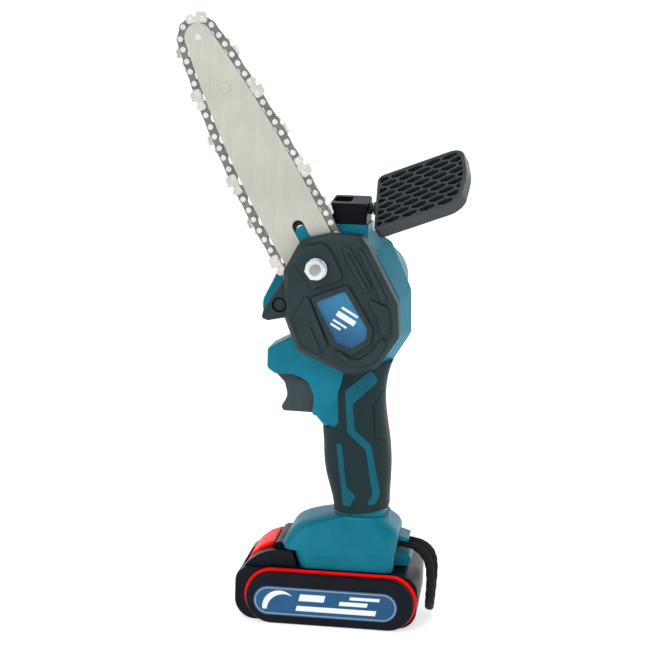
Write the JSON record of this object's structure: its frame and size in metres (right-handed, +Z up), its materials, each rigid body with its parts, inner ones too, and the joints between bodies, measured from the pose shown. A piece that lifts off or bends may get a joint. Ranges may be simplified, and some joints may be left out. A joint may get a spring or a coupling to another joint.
{
  "type": "cordless mini chainsaw",
  "caption": "Pistol-grip cordless mini chainsaw with a short guide bar, side cover, swing-up chip guard and a slide-on battery that it stands on.",
  "frame": {"origin": "middle of the flat underside of the battery that the saw stands on", "axes": "+Z up; -X is the trigger side, to which the bar leans; the side cover, bar and chain are on the -Y side and the motor on +Y"},
  "size_m": [0.1657, 0.0882, 0.3433],
  "materials": {
    "teal_shell": "satin moulded, fine spark texture",
    "teal_inlay": "satin moulded",
    "grip_rubber": "soft overmoulded rubber",
    "cover_plastic": "satin black",
    "badge": "printed label, gloss film",
    "black_oxide": "black oxide screw",
    "bright_steel": "bright zinc",
    "bar_steel": "satin rolled steel",
    "chain_blued": "blued chain steel",
    "cutter_steel": "hard-chromed cutter",
    "rivet_steel": "polished rivet",
    "gear_steel": "ground steel",
    "motor_zinc": "zinc-plated can",
    "cast_alloy": "die-cast",
    "guard_plastic": "satin black",
    "trigger_plastic": "satin black",
    "spring_wire": "spring wire",
    "case_plastic": "satin black",
    "red_trim": "semi-gloss red",
    "pack_label": "printed label, gloss film",
    "cell_can": "sleeved round cell",
    "circuit_board": "solder mask",
    "contact_brass": "plated blade",
    "cord_braid": "braided cord"
  },
  "bodies": {
    "tool": {"bar_nut": "bright_steel", "bar_pad": "cover_plastic", "bar_stud": "bright_steel", "bearing_far": "gear_steel", "bearing_near": "gear_steel", "bracket_screw": "black_oxide", "chain_cutters": "cutter_steel", "chain_drive_links": "chain_blued", "chain_rivets": "rivet_steel", "chain_tie_straps": "chain_blued", "cover_badge": "badge", "cover_screw": "black_oxide", "gearbox_plate": "cast_alloy", "grip_inlay_left": "teal_inlay", "grip_inlay_right": "teal_inlay", "grip_rubber_left": "grip_rubber", "grip_rubber_right": "grip_rubber", "guard_bracket": "guard_plastic", "guard_pin": "bright_steel", "guide_bar": "bar_steel", "housing_left": "teal_shell", "housing_right": "teal_shell", "housing_screw_1": "black_oxide", "housing_screw_2": "black_oxide", "housing_screw_3": "black_oxide", "housing_screw_4": "black_oxide", "lanyard_cord": "cord_braid", "lock_spring": "spring_wire", "motor_can": "motor_zinc", "nose_rivet": "bright_steel", "side_cover": "cover_plastic", "switch_body": "trigger_plastic", "terminal_block": "trigger_plastic", "trigger_spring": "spring_wire"},
    "battery": {"battery_board": "circuit_board", "battery_cap_left": "case_plastic", "battery_cap_right": "case_plastic", "battery_case": "case_plastic", "battery_cell_1": "cell_can", "battery_cell_2": "cell_can", "battery_cell_3": "cell_can", "battery_cell_4": "cell_can", "battery_cell_5": "cell_can", "battery_contacts": "contact_brass", "battery_label_left": "pack_label", "battery_label_right": "pack_label", "battery_trim_left": "red_trim", "battery_trim_right": "red_trim", "release_spring": "spring_wire"},
    "release": {"release_button": "red_trim"},
    "spindle": {"spindle": "gear_steel", "drive_sprocket": "gear_steel", "output_gear": "gear_steel"},
    "rotor": {"motor_shaft": "gear_steel", "motor_pinion": "gear_steel"},
    "nose_wheel": {"nose_sprocket": "gear_steel"},
    "trigger": {"trigger": "trigger_plastic"},
    "lock": {"lock_button": "trigger_plastic"},
    "guard": {"chip_guard": "guard_plastic"}
  },
  "joints": [
    {"name": "spindle_spin", "type": "hinge", "parent": "tool", "child": "spindle", "pos_m": [0.00744, -0.0207, 0.17003], "axis": [0, 1, 0], "continuous": true, "deforming": ["chain_drive_links"]},
    {"name": "rotor_spin", "type": "hinge", "parent": "tool", "child": "rotor", "pos_m": [0.01161, -0.01, 0.19367], "axis": [0, 1, 0], "continuous": true},
    {"name": "nose_spin", "type": "hinge", "parent": "tool", "child": "nose_wheel", "pos_m": [-0.08372, -0.021, 0.3292], "axis": [0, 1, 0], "continuous": true, "deforming": ["chain_drive_links"]},
    {"name": "trigger_pull", "type": "slide", "parent": "tool", "child": "trigger", "axis": [1, 0, 0], "range_m": [0, 0.006], "stiffness_N_per_m": 400, "springref_m": -0.005},
    {"name": "lock_press", "type": "slide", "parent": "tool", "child": "lock", "axis": [0, -1, 0], "range_m": [0, 0.003], "stiffness_N_per_m": 500, "springref_m": -0.003},
    {"name": "guard_swing", "type": "hinge", "parent": "tool", "child": "guard", "pos_m": [0.0145, 0.0005, 0.2368], "axis": [1, 0, 0], "range_deg": [-49, 6]},
    {"name": "battery_slide", "type": "slide", "parent": "tool", "child": "battery", "axis": [-1, 0, 0], "range_m": [0, 0.09]},
    {"name": "release_press", "type": "slide", "parent": "battery", "child": "release", "axis": [0, 0, -1], "range_m": [0, 0.0025], "stiffness_N_per_m": 600, "springref_m": -0.003}
  ],
  "couplings": [
    {"joint": "rotor_spin", "follows": "spindle_spin", "ratio": -5},
    {"joint": "nose_spin", "follows": "spindle_spin", "ratio": 1.4}
  ]
}
